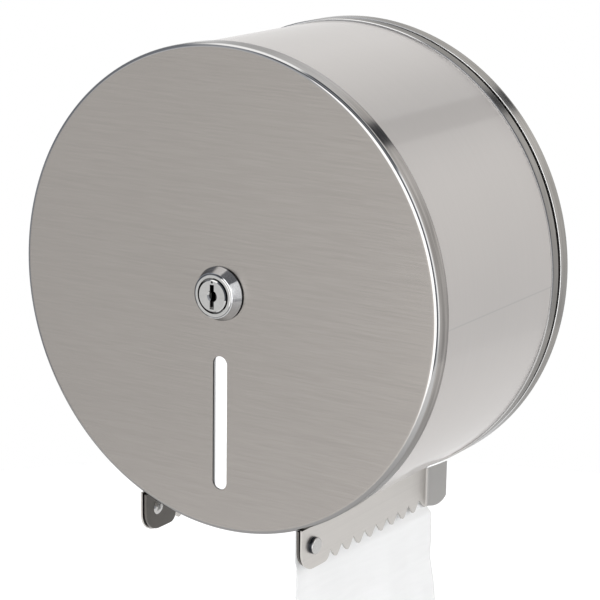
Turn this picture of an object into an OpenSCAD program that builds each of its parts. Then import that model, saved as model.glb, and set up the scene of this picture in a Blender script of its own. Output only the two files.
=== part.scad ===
// Jumbo toilet roll dispenser: a round steel cover that pulls off a wall plate, a spindle with
// its roll, two serrated tear blades under the drum and a cam lock in the middle of the face.
// Every module is drawn as seen from the front: x to the right, y up, z out from the wall.
// on_wall() then stands it up, with +Z up and the wall behind at y = 0.

/* [Housing] */
// Outside diameter of the front pan and of the back pan
body_d = 230; // [224:1:250]
// Depth from the wall to the face
body_depth = 125; // [122:1:150]
// Sheet thickness of both pans
sheet_t = 1; // [0.8:0.1:1.2]
// Outside radius of the pans' rounded corners
corner_r = 2; // [1.5:0.1:3]
// Depth of the front pan's rim
front_rim = 9.5; // [8:0.5:14]
// Depth of the back pan's rim
back_rim = 8.5; // [7:0.5:10]
// Open gap between the back pan's rim and the cover
parting_gap = 2.7; // [1.5:0.1:3]
// Sheet thickness of the drum band
band_t = 0.8; // [0.6:0.1:1]
// Width of the hoop round the drum's rear edge
hoop_w = 5.3; // [4:0.1:10]

/* [Level slot] */
// Width of the slot in the face
slot_w = 8; // [6:0.5:12]
// Length of the slot, end to end
slot_len = 65; // [40:1:70]
// Distance from the lock's axis to the slot's top end
slot_top = 30; // [27:1:35]
// Thickness of the opal strip behind the slot
window_t = 1.5; // [1:0.5:3]
// How far the strip reaches past the slot on every side
window_lap = 3; // [2:0.5:5]

/* [Lock] */
// Largest diameter of the bezel, where it meets the face
bezel_d = 25.5; // [24:0.5:28]
// Height of the bezel above the face
bezel_h = 6; // [4:0.5:8]
// Outside diameter of the bezel's flat front ring
bezel_ring_d = 20.2; // [19.4:0.2:22]
// Outside diameter of the lock's barrel behind the face
barrel_d = 18.8; // [18:0.2:20]
// Length of the barrel behind the face
barrel_len = 16; // [14:0.5:17]
// Diameter of the turning plug
plug_d = 14.8; // [13:0.2:15.4]
// Width of the keyway
keyway_w = 2.3; // [1.6:0.1:3]
// Width across the flats of the lock nut
nut_af = 22; // [21:0.5:24]
// Thickness of the lock nut
nut_t = 5; // [3:0.5:6]
// Length of the cam from the lock's axis to its tip
cam_len = 15; // [13.5:0.5:16]
// Width of the cam
cam_w = 8; // [6:0.5:10]
// Thickness of the cam
cam_t = 2; // [1.5:0.1:2.5]

/* [Spindle] */
// Outside diameter of the spindle that carries the roll
spindle_d = 34; // [32:0.5:38]
// Wall of the spindle tube
spindle_t = 1.2; // [1:0.1:2]
// Room between the spindle's closed end and the cam, for the strike, its rivets and the screw
strike_room = 8.9; // [7.5:0.1:12]
// Diameter of the flange at the spindle's foot
flange_d = 70; // [66:1:76]
// Thickness of the sheet of the flange, the cap and the strike
fitting_t = 1.2; // [1:0.1:1.5]

/* [Roll] */
// Room between the full roll and the outside of the housing
roll_room = 20; // [17:0.5:50]
// Distance from the wall to the back of the roll
roll_back = 8; // [7.5:0.5:14]
// Distance from the face to the front of the roll
roll_front_room = 13; // [13:0.5:25]
// Inside diameter of the cardboard core
core_d = 45; // [44:0.5:50]
// Wall of the cardboard core
core_t = 1.5; // [1:0.1:2.5]

/* [Tear blades] */
// Distance from the middle to the outer side of each blade
blade_x = 46.5; // [40:0.5:50]
// Sheet thickness of the blades
blade_t = 1; // [0.8:0.1:1.2]
// Sheet thickness of the brackets behind them
bracket_t = 1.2; // [1:0.1:1.6]
// Gap between blade and bracket, kept by a spacer
blade_gap = 1; // [0.5:0.1:1.5]
// How far the blades hang below the housing
blade_drop = 12; // [10:0.5:14]
// Distance from the face to the first notch
lug_len = 25; // [24:0.5:28]
// Distance from tooth to tooth
tooth_pitch = 10.3; // [8:0.1:12]
// Depth of the notches
tooth_h = 5.2; // [4:0.1:6]
// Radius of the tooth tips
tip_r = 2; // [1.2:0.1:2.4]
// Angle by which the tail of each blade is bent outwards
tail_angle = 50; // [30:1:60]
// Length of the bent tail
tail_len = 8; // [6:0.5:9]
// Diameter of the rivets' domed heads
rivet_head_d = 8.2; // [7:0.2:9]
// Diameter of the rivets' shanks
rivet_d = 4; // [3:0.2:4.4]
// Length of paper that hangs below the blades
paper_drop = 63; // [50:1:90]

/* [Fixing] */
// Distance between the wall screws, across
screw_across = 100; // [90:1:120]
// Distance between the wall screws, up and down
screw_up = 90; // [86:1:110]
// Diameter of the wall screw holes
screw_hole_d = 5.5; // [4.5:0.1:6.5]
// Length of each guide tab along the rim
guide_w = 16; // [14:0.5:20]
// Distance from the wall to the free end of the guide tabs
guide_len = 24; // [20:0.5:30]

/* [Hidden] */
$fn = 96;

seat = 0.05;   // gap between pieces that are pressed or nested together
clear = 0.3;   // gap between pieces that move past each other
past = 1;      // how far a cutting shape runs past the face that it cuts
embed = 0.25;  // how far two shapes of one piece run into each other

// Housing
body_r = body_d / 2;
panel_in = body_depth - sheet_t;
rim_end = body_depth - front_rim;
band_r = body_r - sheet_t - seat;
band_in = band_r - band_t;
band_front = body_depth - corner_r;
band_rear = back_rim + parting_gap;
hoop_edge = 0.4;
hoop_in = band_r + seat;
exit_past = 0.5;
exit_half = blade_x + exit_past;

// Guide tabs
guide_t = 1;
guide_r = band_in - clear;
guide_stop_r = body_r - sheet_t - clear;
guide_stop = band_rear - clear;
guide_foot = 15;
guide_foot_r = guide_r - guide_foot;
guide_angle = guide_w / guide_r * 180 / PI;
guide_places = [90, 210, 330];
guide_rivet_in = 5;
guide_rivet_r = guide_foot_r + guide_rivet_in;
guide_rivet_turn = guide_angle / 4;
small_rivet_r = 1.6;
small_head_r = 2.8;
small_head_h = 1.5;
key_w = 8;
key_h = 3;

// Lock
plug_r = plug_d / 2;
plug_bore_r = plug_r + seat;
plug_rim = 0.25;
plug_head_r = plug_r + plug_rim;
plug_gap = 0.8;
plug_recess_r = plug_head_r + plug_gap;
plug_head_h = 4.5;
plug_proud = 0.7;
plug_face = body_depth + bezel_h + plug_proud;
plug_head_back = plug_face - plug_head_h;
barrel_r = barrel_d / 2;
barrel_end = body_depth - barrel_len;
bezel_base = 0.8;
bezel_round = 0.5;
washer_t = 1;
washer_wide = 3.6;
washer_r = barrel_r + washer_wide;
nut_front = panel_in - washer_t;
cam_gap = 0.1;
cam_front = barrel_end - cam_gap;
cam_back = cam_front - cam_t;
cam_hub_r = 8;
drive_w = 7;
cam_screw_r = 2;
cam_screw_len = 8;
cam_head_r = 3.8;
cam_head_h = 2.4;
drive_slot_l = 5.3;
drive_slot_w = 0.8;
cam_washer_r = 5.5;
cam_washer_t = 0.8;
key_recess_r = 2.8;
key_recess_low_r = 1.7;
key_recess_h = 1.4;
key_step_h = 1.6;
key_hole_r = 0.6;
key_hole_up = 6.6;
key_hole_h = 2.5;
key_land = 0.6;
keyway_depth = 12;

// Spindle and strike
spindle_r = spindle_d / 2;
spindle_in = spindle_r - spindle_t;
flange_r = flange_d / 2;
flange_front = sheet_t + fitting_t;
flange_rivet_out = 1;
flange_rivet_r = (spindle_r + flange_r) / 2 + flange_rivet_out;
flange_head_r = 3.5;
flange_head_h = 1.8;
spindle_len = cam_back - strike_room;
tube_end = spindle_len - fitting_t;
cap_spigot = 7;
strike_over = 1;
strike_x = spindle_r + strike_over + fitting_t;
strike_start = 2;
strike_low = -9;
strike_high = 3;
strike_mid = (strike_low + strike_high) / 2;
strike_base = spindle_len + fitting_t;
strike_play = 0.6;
lip_back = cam_front + strike_play;
lip_reach = 11.5;
strike_rivet_x = [6, 13];

// Roll and its hanging end
roll_r = body_r - roll_room;
roll_w = body_depth - roll_back - roll_front_room;
core_bore_r = core_d / 2;
core_r = core_bore_r + core_t;
roll_y = spindle_r + clear - core_bore_r;
roll_front = roll_back + roll_w;
paper_t = 0.4;
roll_gap = 1;
tail_lean = 10.3;
tail_inside = 0.5;
exit_rise = 14;
exit_level = body_r - exit_rise;
tail_turns = 5;
// How far the tail's rear edge swings out, against the drop below the blades
tail_swing = [[0, 0], [0.05, 3], [0.25, 3.6], [0.42, 3.2], [0.63, 6], [0.82, 7.6], [1, 8.2]];
front_swing = 0.25;
swing_below = 0.5;

// Tear blades: distances along them are taken back from the face
blade_in = blade_x - blade_t;
bracket_out = blade_in - blade_gap;
bracket_in = bracket_out - bracket_t;
blade_low = -(body_r + blade_drop);
notch_top = blade_low + tooth_h;
blade_set = 0.3;
lug_r = 10;
lug_back_r = 4.5;
rim_pass = front_rim + 1;
under_rim = 0.35;
foot_r = band_in - seat;
foot_t = 1;
foot_mid = foot_r - foot_t / 2;
foot_len = 13.5;
foot_reach = blade_x + foot_len;
foot_shy = 0.5;
blade_top_y = -height_at(foot_r, blade_in) - clear;
bend_room = 0.8;
bend_at = body_depth - band_rear - bend_room;
bend_r = 4;
tail_clear = 1.6;
tail_clear_r = body_r + tail_clear;
tail_cut = 0.4;
tail_from = bend_at - tail_cut;
tail_rise = 14;
tail_round = 12;
tail_top = -tail_clear_r + tail_rise;
last_flat = 5;
tooth_count = floor((bend_at - last_flat - lug_len) / tooth_pitch);
last_notch = lug_len + tooth_count * tooth_pitch;
foot_span = 40;
foot_short = 3;
blade_foot = [bend_at - foot_short - foot_span, bend_at - foot_short];
foot_apart = 6;
bracket_foot = [rim_pass, blade_foot[0] - foot_apart];
bracket_short = 0.6;
bracket_low = blade_low + bracket_short;
bracket_rise = 11;
bracket_waist = blade_low + bracket_rise;
rivet_r = rivet_d / 2;
rivet_hole_r = rivet_r + seat;
rivet_back = 10.2;
rivet_below = 0.6;
rivet_y = -(body_r + rivet_below);
rivet_head_h = 2.2;
head_edge = 0.8;
head_steps = 4;
rivet_tail_r = 3.6;
rivet_tail_h = 1.5;
spacer_r = 4.5;
arc_steps = 10;
bend_steps = 6;

steel = "silver";
bright = "gainsboro";
dull = "darkgray";

// ---------- shared shapes ----------

function height_at(r, x) = sqrt(r * r - x * x);
function angle_at(r, x) = -90 + asin(x / r);
function arc(c, r, from, to, steps = arc_steps) =
    [for (k = [0 : steps]) c + r * [cos(from + (to - from) * k / steps),
                                    sin(from + (to - from) * k / steps)]];
// Angle of a notch's side where it touches a tip of radius r, half a pitch away
function flank(half, r) =
    atan2(tooth_h - r, half) + asin(r / norm([half, tooth_h - r]));

module on_wall() rotate([90, 0, 0]) children();

// Draws its child at a height above the wall, and turns it round the main axis
module out(h, turn = 0) rotate([0, 0, turn]) translate([0, 0, h]) children();

// A plate in a plane across x: its outline gives distance from the wall and height
module side_plate(x, t, outline)
    translate([x, 0, 0]) rotate([0, -90, 0]) linear_extrude(t) polygon(outline);

// An outline given by distance back from the face and height, turned into plate_outline's terms
function from_face(points) = [for (p = points) [body_depth - p[0], p[1]]];

module ring(r_out, r_in, h)
    difference() {
        cylinder(r = r_out, h = h);
        translate([0, 0, -past]) cylinder(r = r_in, h = h + 2 * past);
    }

// Cross-section of a pan lying on its closed face, with a rounded outer corner
module pan_block(r, depth, corner)
    union() {
        square([r - corner, depth]);
        translate([0, corner]) square([r, depth - corner]);
        translate([r - corner, corner]) circle(corner);
    }

module pan(depth)
    rotate_extrude()
        difference() {
            pan_block(body_r, depth, corner_r);
            translate([0, sheet_t]) pan_block(body_r - sheet_t, depth, corner_r - sheet_t + seat);
        }

// A domed rivet head that stands on z = 0
module dome(r, h)
    intersection() {
        cylinder(r = r, h = h);
        translate([0, 0, h - (r * r + h * h) / (2 * h)]) sphere(r = (r * r + h * h) / (2 * h));
    }

// A flat rivet head with a rounded edge that stands on z = 0
module pan_head(r, h)
    rotate_extrude() polygon(concat([[0, 0], [r, 0]],
        arc([r - head_edge, h - head_edge], head_edge, 0, 90, head_steps), [[0, h]]));

// A rivet along +z whose formed end lies flush at z = 0
module flush_rivet(r, grip, head_r, head_h)
    union() {
        cylinder(r = r, h = grip + embed);
        translate([0, 0, grip]) dome(head_r, head_h);
    }

module exit_cut(from, to)
    translate([-exit_half, -body_r - past, from])
        cube([2 * exit_half, body_r, to - from]);

// ---------- wall plate ----------

module back_plate()
    color(steel) on_wall() difference() {
        pan(back_rim);
        for (sx = [-1, 1], sy = [-1, 1])
            translate([sx * screw_across / 2, sy * screw_up / 2, -past])
                cylinder(d = screw_hole_d, h = sheet_t + 2 * past);
        for (k = [0 : 3])
            out(-past, 45 + 90 * k) translate([flange_rivet_r, 0, 0])
                cylinder(r = rivet_hole_r, h = sheet_t + 2 * past);
        guide_rivet_places() translate([0, 0, -past])
            cylinder(r = small_rivet_r + seat, h = sheet_t + 2 * past);
    }

module guide_rivet_places()
    for (a = guide_places, side = [-1, 1])
        rotate([0, 0, a + side * guide_rivet_turn]) translate([guide_rivet_r, 0, 0]) children();

// Rolled tab: a foot on the plate, a shoulder that the drum stops at and a wall inside the drum
module guide_tab(a)
    color(dull) on_wall() difference() {
        union() {
            rotate([0, 0, a - guide_angle / 2]) rotate_extrude(angle = guide_angle)
                polygon([[guide_foot_r, sheet_t], [body_r - corner_r - clear, sheet_t],
                         [guide_stop_r, sheet_t + corner_r],
                         [guide_stop_r, guide_stop], [guide_r, guide_stop],
                         [guide_r, guide_len], [guide_r - guide_t, guide_len],
                         [guide_r - guide_t, sheet_t + guide_t],
                         [guide_foot_r, sheet_t + guide_t]]);
            children();
        }
        guide_rivet_places() translate([0, 0, -past])
            cylinder(r = small_rivet_r + seat, h = sheet_t + guide_t + 2 * past);
    }

// The top tab's key keeps the cover from turning
module guide_tab_top()
    guide_tab(guide_places[0])
        translate([0, 0, guide_stop - past])
            intersection() {
                translate([-key_w / 2, 0, 0]) cube([key_w, body_r, key_h + past]);
                ring(guide_stop_r, guide_r - guide_t / 2, key_h + past);
            }

module guide_tab_left() guide_tab(guide_places[1]);
module guide_tab_right() guide_tab(guide_places[2]);

module guide_tab_rivets()
    color(bright) on_wall() guide_rivet_places()
        flush_rivet(small_rivet_r, sheet_t + guide_t, small_head_r, small_head_h);

// ---------- spindle ----------

module spindle_flange()
    color(steel) on_wall() difference() {
        out(sheet_t) ring(flange_r, spindle_r + seat, fitting_t);
        for (k = [0 : 3])
            out(0, 45 + 90 * k) translate([flange_rivet_r, 0, 0])
                cylinder(r = rivet_hole_r, h = flange_front + past);
    }

module spindle_tube()
    color(steel) on_wall() out(sheet_t) ring(spindle_r, spindle_in, tube_end - sheet_t);

module spindle_rivets()
    color(bright) on_wall() for (k = [0 : 3])
        out(0, 45 + 90 * k) translate([flange_rivet_r, 0, 0])
            flush_rivet(rivet_r, flange_front, flange_head_r, flange_head_h);

module strike_rivet_places()
    for (x = strike_rivet_x) translate([x, strike_mid, 0]) children();

module spindle_end_cap()
    color(steel) on_wall() difference() {
        union() {
            out(tube_end) cylinder(r = spindle_r, h = fitting_t);
            out(tube_end - cap_spigot) ring(spindle_in - seat, spindle_in - seat - fitting_t,
                                            cap_spigot + fitting_t / 2);
        }
        strike_rivet_places() out(tube_end - past)
            cylinder(r = small_rivet_r + seat, h = fitting_t + 2 * past);
    }

// Bent strap on the spindle's end: the cam turns in behind its lip
module strike_bracket()
    color(bright) on_wall() difference() {
        translate([0, strike_high, 0]) rotate([90, 0, 0])
            linear_extrude(strike_high - strike_low)
                polygon([[strike_start, spindle_len], [strike_x, spindle_len],
                         [strike_x, lip_back + fitting_t], [lip_reach, lip_back + fitting_t],
                         [lip_reach, lip_back], [strike_x - fitting_t, lip_back],
                         [strike_x - fitting_t, strike_base], [strike_start, strike_base]]);
        strike_rivet_places() out(spindle_len - past)
            cylinder(r = small_rivet_r + seat, h = fitting_t + 2 * past);
    }

module strike_rivets()
    color(bright) on_wall() strike_rivet_places() out(tube_end)
        flush_rivet(small_rivet_r, 2 * fitting_t, small_head_r, small_head_h);

// ---------- roll ----------

module paper_roll()
    color("white") on_wall() translate([0, roll_y, roll_back]) ring(roll_r, core_r + seat, roll_w);

module roll_core()
    color("tan") on_wall() translate([0, roll_y, roll_back]) ring(core_r, core_bore_r, roll_w);

// The hanging end leaves the roll on its right, where a line from the exit touches it
function touch_point(q, r) =
    let (d = q - [0, roll_y], turn = acos(r / norm(d)), a = atan2(d[1], d[0]) + turn)
    [0, roll_y] + r * [cos(a), sin(a)];

// One edge of the hanging end, lean = 0 at the wall and 1 at the face
function tail_edge(lean) =
    let (q = [blade_in - tail_inside - lean * tail_lean, -exit_level],
         p = touch_point(q, roll_r + roll_gap + paper_t),
         low = blade_low - swing_below)
    concat([for (k = [0 : tail_turns]) p + (q - p) * k / tail_turns],
           [for (s = tail_swing) [q[0] + s[1] * (lean == 0 ? 1 : front_swing),
                                  low - s[0] * (paper_drop - swing_below)]]);

module sheet_between(rear, front)
    let (n = len(rear),
         rows = [for (i = [0 : n - 1])
             let (a = rear[max(i - 1, 0)], b = rear[min(i + 1, n - 1)],
                  side = paper_t * [a[1] - b[1], b[0] - a[0]] / norm(b - a))
             [[rear[i][0], rear[i][1], roll_back],
              [front[i][0], front[i][1], roll_front],
              [front[i][0] - side[0], front[i][1] - side[1], roll_front],
              [rear[i][0] - side[0], rear[i][1] - side[1], roll_back]]])
    polyhedron(
        points = [for (row = rows) for (p = row) p],
        faces = concat([[0, 1, 2], [0, 2, 3]],
            [for (i = [0 : n - 2], k = [0 : 3], half = [0, 1])
                let (a = 4 * i + k, b = 4 * i + (k + 1) % 4)
                half == 0 ? [a, a + 4, b] : [b, a + 4, b + 4]],
            [[4 * n - 4, 4 * n - 2, 4 * n - 3], [4 * n - 4, 4 * n - 1, 4 * n - 2]]));

module paper_tail()
    color("white") on_wall() sheet_between(tail_edge(0), tail_edge(1));

// ---------- cover ----------

module slot_shape(lap, h)
    union() {
        translate([-slot_w / 2 - lap, -slot_top - slot_len + slot_w / 2, 0])
            cube([slot_w + 2 * lap, slot_len - slot_w, h]);
        for (y = [-slot_top - slot_w / 2, -slot_top - slot_len + slot_w / 2])
            translate([0, y, 0]) cylinder(r = slot_w / 2 + lap, h = h);
    }

module front_panel()
    color(steel) on_wall() difference() {
        out(body_depth) mirror([0, 0, 1]) pan(front_rim);
        out(panel_in - past) slot_shape(0, sheet_t + 2 * past);
        out(panel_in - past) cylinder(r = barrel_r + seat, h = sheet_t + 2 * past);
    }

module level_window()
    color("white") on_wall() out(panel_in - window_t) slot_shape(window_lap, window_t);

module drum_band()
    color(bright) on_wall() difference() {
        out(band_rear) ring(band_r, band_in, band_front - band_rear);
        exit_cut(band_rear - past, rim_end);
        translate([-key_w / 2 - clear, 0, band_rear - past])
            cube([key_w + 2 * clear, body_r, key_h + past + clear]);
    }

module rear_hoop()
    color(bright) on_wall() difference() {
        out(band_rear) rotate_extrude()
            polygon([[hoop_in, 0], [body_r, 0], [body_r, hoop_w - hoop_edge],
                     [body_r - hoop_edge, hoop_w], [hoop_in, hoop_w]]);
        exit_cut(band_rear - past, band_rear + hoop_w + past);
    }

// ---------- tear blades ----------

// Rounded foot of a plate, spot welded to the inside of the drum from x to foot_reach
module drum_foot(x, span)
    let (from = angle_at(foot_mid, x), to = angle_at(foot_mid, foot_reach))
    rotate([0, 0, from]) rotate_extrude(angle = to - from)
        translate([foot_r - foot_t, body_depth - span[1] + foot_shy])
            square([foot_t, span[1] - span[0] - 2 * foot_shy]);

module blade_hole(x_in, t)
    translate([x_in - past, rivet_y, body_depth - rivet_back]) rotate([0, 90, 0])
        cylinder(r = rivet_hole_r, h = t + 2 * past);

// Level of a lug's top, just under the rim
function lug_top(x) = -height_at(body_r, x) - under_rim;

// Lug's front corner and rounded back, down to a given level
function lug_outline(front, low, top) =
    concat([[front, top]],
           arc([front + lug_r, low + lug_r], lug_r, 180, 270),
           arc([lug_len - tooth_pitch / 2, low + lug_back_r], lug_back_r, -90,
               -90 + flank(tooth_pitch / 2, lug_back_r)));

function tooth_row() =
    let (f = flank(tooth_pitch / 2, tip_r))
    [for (k = [0 : tooth_count - 1]) each concat(
        [[lug_len + k * tooth_pitch, notch_top]],
        arc([lug_len + (k + 0.5) * tooth_pitch, blade_low + tip_r], tip_r, -90 - f, -90 + f))];

// Top edge of a plate, with the stretch that rises to its foot
function top_edge(span, x) =
    [[span[1], blade_top_y], [span[1], -height_at(foot_mid, x)],
     [span[0], -height_at(foot_mid, x)], [span[0], blade_top_y]];

// Far end of the blade seen from the side: the bent tail's lower corner is rounded
function tail_end() =
    let (reach = tail_len * cos(tail_angle) + blade_t * sin(tail_angle) / 2 + seat,
         start = bend_at + (bend_r + blade_t / 2) * sin(tail_angle))
    concat([for (p = arc([0, 0], 1, -90, 0))
                [start + reach * p[0], blade_low + tail_round * (1 + p[1])]],
           [[start + reach, tail_top], [bend_at, tail_top], [bend_at, blade_top_y]]);

blade_outline = concat(lug_outline(blade_set, blade_low, lug_top(blade_in)), tooth_row(),
    [[last_notch, notch_top], [bend_at, blade_low]], tail_end(),
    top_edge(blade_foot, blade_x - blade_t / 2),
    [[rim_pass, blade_top_y], [rim_pass, lug_top(blade_in)]]);

bracket_outline = concat(lug_outline(2 * blade_set, bracket_low, lug_top(bracket_in)),
    [[lug_len, bracket_waist], [bracket_foot[1], bracket_waist]],
    top_edge(bracket_foot, bracket_out - bracket_t / 2), [[rim_pass, lug_top(bracket_in)]]);

// The blade seen from above: flat sheet, then the outward bend with the tail behind it
function blade_plan() =
    let (c = [blade_x + bend_r, body_depth - bend_at], end = 180 + tail_angle,
         run = tail_len * [sin(tail_angle), -cos(tail_angle)],
         near = arc(c, bend_r, 180, end, bend_steps),
         far = arc(c, bend_r + blade_t, end, 180, bend_steps))
    concat([[blade_x, body_depth]], near, [near[bend_steps] + run, far[0] + run], far,
           [[blade_in, body_depth]]);

module tear_blade()
    difference() {
        union() {
            intersection() {
                translate([0, -body_r / 2, 0]) rotate([90, 0, 0])
                    linear_extrude(body_r) polygon(blade_plan());
                side_plate(blade_x + tail_len + past, 2 * tail_len, from_face(blade_outline));
            }
            drum_foot(blade_x - blade_t / 2, blade_foot);
        }
        translate([0, 0, -past]) cylinder(r = tail_clear_r, h = body_depth - tail_from + past);
        blade_hole(blade_in, blade_t);
    }

module blade_bracket()
    difference() {
        union() {
            side_plate(bracket_out, bracket_t, from_face(bracket_outline));
            drum_foot(bracket_out - bracket_t / 2, bracket_foot);
        }
        blade_hole(bracket_in, bracket_t);
    }

module both_sides()
    for (side = [0, 1]) mirror([side, 0, 0]) children();

module right_tear_blade() color(steel) on_wall() tear_blade();
module left_tear_blade() color(steel) on_wall() mirror([1, 0, 0]) tear_blade();
module right_blade_bracket() color(dull) on_wall() blade_bracket();
module left_blade_bracket() color(dull) on_wall() mirror([1, 0, 0]) blade_bracket();

module blade_spacers()
    color(dull) on_wall() both_sides()
        translate([bracket_out, rivet_y, body_depth - rivet_back]) rotate([0, 90, 0])
            ring(spacer_r, rivet_hole_r, blade_gap);

module blade_rivets()
    color(bright) on_wall() both_sides()
        translate([bracket_in, rivet_y, body_depth - rivet_back]) rotate([0, 90, 0]) union() {
            cylinder(r = rivet_r, h = blade_x - bracket_in + embed);
            translate([0, 0, blade_x - bracket_in]) pan_head(rivet_head_d / 2, rivet_head_h);
            rotate([180, 0, 0]) dome(rivet_tail_r, rivet_tail_h);
        }

// ---------- lock ----------

// Bevelled bezel in front of the face and the barrel behind it, in one turned piece
module lock_barrel()
    color(bright) on_wall() rotate_extrude()
        polygon([[plug_bore_r, barrel_end], [barrel_r, barrel_end], [barrel_r, body_depth],
                 [bezel_d / 2, body_depth], [bezel_d / 2, body_depth + bezel_base],
                 [bezel_ring_d / 2 + bezel_round, body_depth + bezel_h - bezel_round],
                 [bezel_ring_d / 2, body_depth + bezel_h - bezel_round / 3],
                 [bezel_ring_d / 2 - bezel_round, body_depth + bezel_h],
                 [plug_recess_r, body_depth + bezel_h], [plug_recess_r, plug_head_back - cam_gap],
                 [plug_bore_r, plug_head_back - cam_gap]]);

module lock_washer()
    color(dull) on_wall() out(nut_front) ring(washer_r, barrel_r + seat, washer_t);

module lock_nut()
    color(dull) on_wall() out(nut_front - nut_t) difference() {
        cylinder(d = nut_af / cos(30), h = nut_t, $fn = 6);
        translate([0, 0, -past]) cylinder(r = barrel_r + seat, h = nut_t + 2 * past);
    }

module lock_plug()
    color(bright) on_wall() difference() {
        union() {
            out(cam_front) cylinder(r = plug_r, h = plug_head_back - cam_front + embed);
            out(plug_head_back) rotate_extrude()
                polygon([[0, 0], [plug_head_r, 0],
                         [plug_head_r, plug_face - plug_head_back - bezel_round],
                         [plug_head_r - bezel_round, plug_face - plug_head_back],
                         [0, plug_face - plug_head_back]]);
            translate([-drive_w / 2, -drive_w / 2, cam_back])
                cube([drive_w, drive_w, cam_t + past]);
        }
        translate([-keyway_w / 2, -key_recess_r, plug_face - keyway_depth])
            cube([keyway_w, key_recess_r + key_hole_up - key_hole_r - key_land,
                  keyway_depth + past]);
        translate([0, key_hole_up, plug_face - key_hole_h])
            cylinder(r = key_hole_r, h = key_hole_h + past);
        translate([-keyway_w / 2, -2 * key_recess_r - key_land, plug_face - key_step_h])
            cube([keyway_w, 2 * key_recess_r, key_step_h + past]);
        out(plug_face - key_recess_h)
            cylinder(r1 = key_recess_low_r, r2 = key_recess_r, h = key_recess_h);
        out(plug_face - seat) cylinder(r = key_recess_r, h = past);
        out(cam_back - past) cylinder(r = cam_screw_r + seat, h = cam_screw_len + past);
    }

// At rest the cam points down, clear of the strike; a quarter turn takes it behind the lip
module lock_cam()
    color(dull) on_wall() out(cam_back) difference() {
        union() {
            cylinder(r = cam_hub_r, h = cam_t);
            translate([-cam_w / 2, cam_w / 2 - cam_len, 0])
                cube([cam_w, cam_len - cam_w / 2, cam_t]);
            translate([0, cam_w / 2 - cam_len, 0]) cylinder(r = cam_w / 2, h = cam_t);
        }
        translate([-drive_w / 2 - seat, -drive_w / 2 - seat, -past])
            cube([drive_w + 2 * seat, drive_w + 2 * seat, cam_t + 2 * past]);
    }

module cam_washer()
    color(bright) on_wall() out(cam_back - cam_washer_t)
        ring(cam_washer_r, cam_screw_r + seat, cam_washer_t);

module cam_screw()
    color(bright) on_wall() difference() {
        union() {
            out(cam_back - cam_washer_t - cam_head_h) cylinder(r = cam_head_r, h = cam_head_h);
            out(cam_back - cam_washer_t - past / 2)
                cylinder(r = cam_screw_r, h = cam_screw_len + past / 2);
        }
        out(cam_back - cam_washer_t - cam_head_h - past) for (turn = [0, 90])
            rotate([0, 0, turn]) translate([-drive_slot_l / 2, -drive_slot_w / 2, 0])
                cube([drive_slot_l, drive_slot_w, cam_head_h / 2 + past]);
    }

back_plate();
spindle_flange();
spindle_tube();
spindle_end_cap();
spindle_rivets();
strike_bracket();
strike_rivets();
guide_tab_top();
guide_tab_left();
guide_tab_right();
guide_tab_rivets();
paper_tail();
paper_roll();
roll_core();
front_panel();
drum_band();
rear_hoop();
level_window();
right_blade_bracket();
left_blade_bracket();
right_tear_blade();
left_tear_blade();
blade_spacers();
blade_rivets();
lock_barrel();
lock_washer();
lock_nut();
lock_plug();
lock_cam();
cam_washer();
cam_screw();
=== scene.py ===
# %% [markdown]
# # A jumbo toilet roll dispenser in stainless steel
# The real object is a round steel housing that hangs on a washroom wall. Its cover is a brushed
# front pan with a thin satin drum behind it, and it pulls off a back pan that stays on the wall.
# Most rigid parts come ready made from the CAD model, so this lesson is mostly about finishes:
# how brushed, satin and chromed metal differ, and how a studio of light and dark panels gives
# metal its look. The two pans, the roll and the hanging paper are modelled here.

# %% The CAD model as a fixed frame
import math

import bmesh
import bpy
from mathutils import Matrix, Quaternion, Vector


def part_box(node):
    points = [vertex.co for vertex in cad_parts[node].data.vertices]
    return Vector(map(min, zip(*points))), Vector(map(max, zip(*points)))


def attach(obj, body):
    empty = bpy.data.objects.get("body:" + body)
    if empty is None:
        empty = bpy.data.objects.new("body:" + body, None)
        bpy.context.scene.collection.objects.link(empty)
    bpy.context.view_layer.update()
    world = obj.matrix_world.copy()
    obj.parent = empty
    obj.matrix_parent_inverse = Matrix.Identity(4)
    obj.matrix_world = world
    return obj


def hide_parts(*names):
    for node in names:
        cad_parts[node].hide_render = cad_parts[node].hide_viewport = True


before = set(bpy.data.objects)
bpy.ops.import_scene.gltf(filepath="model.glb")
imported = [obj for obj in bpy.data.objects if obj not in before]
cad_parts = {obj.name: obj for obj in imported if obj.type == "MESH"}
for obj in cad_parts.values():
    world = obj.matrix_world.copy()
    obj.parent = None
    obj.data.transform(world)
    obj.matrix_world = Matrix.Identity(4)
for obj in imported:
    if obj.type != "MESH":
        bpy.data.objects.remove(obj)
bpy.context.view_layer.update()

MM = 0.001

# %% [markdown]
# ## Sizes from the CAD parts
# A piece that is modelled here stands in for a CAD part, so it has that part's size. The sizes
# are read from the CAD parts and not typed again: if the housing grows, the pans, the roll and
# the finishes follow. The mesh of a round part can fall a few hundredths of a millimetre short
# of it, so a size is rounded to a tenth. The wall is at y = 0 and the room is on the side of
# -y, so a depth from the wall is -y.

# %% Reading a size
def span(node, axis):
    """From where to where a CAD part reaches along x, y or z, in mm to a tenth."""
    return tuple(round(getattr(corner, axis) / MM, 1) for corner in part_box(node))


def depths(node):
    """How far from the wall a CAD part begins and ends, in mm."""
    front, back = span(node, "y")
    return -back, -front


RIM_END, BODY_DEPTH = depths("front_panel")
BACK_RIM = depths("back_plate")[1]
PAN_R = span("front_panel", "x")[1]
FACE_Y = -BODY_DEPTH * MM
print(f"housing: radius {PAN_R}, depth {BODY_DEPTH}, front rim from {RIM_END} mm")

# %% [markdown]
# ## A small language for finishes
# A material in Blender is a network of nodes, and a long network is hard to read as code. Here
# a Value wraps one output of a node and lets the usual operators add Math nodes. Then
# `streaks * 0.1 + 0.3` is a piece of the network.

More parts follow.
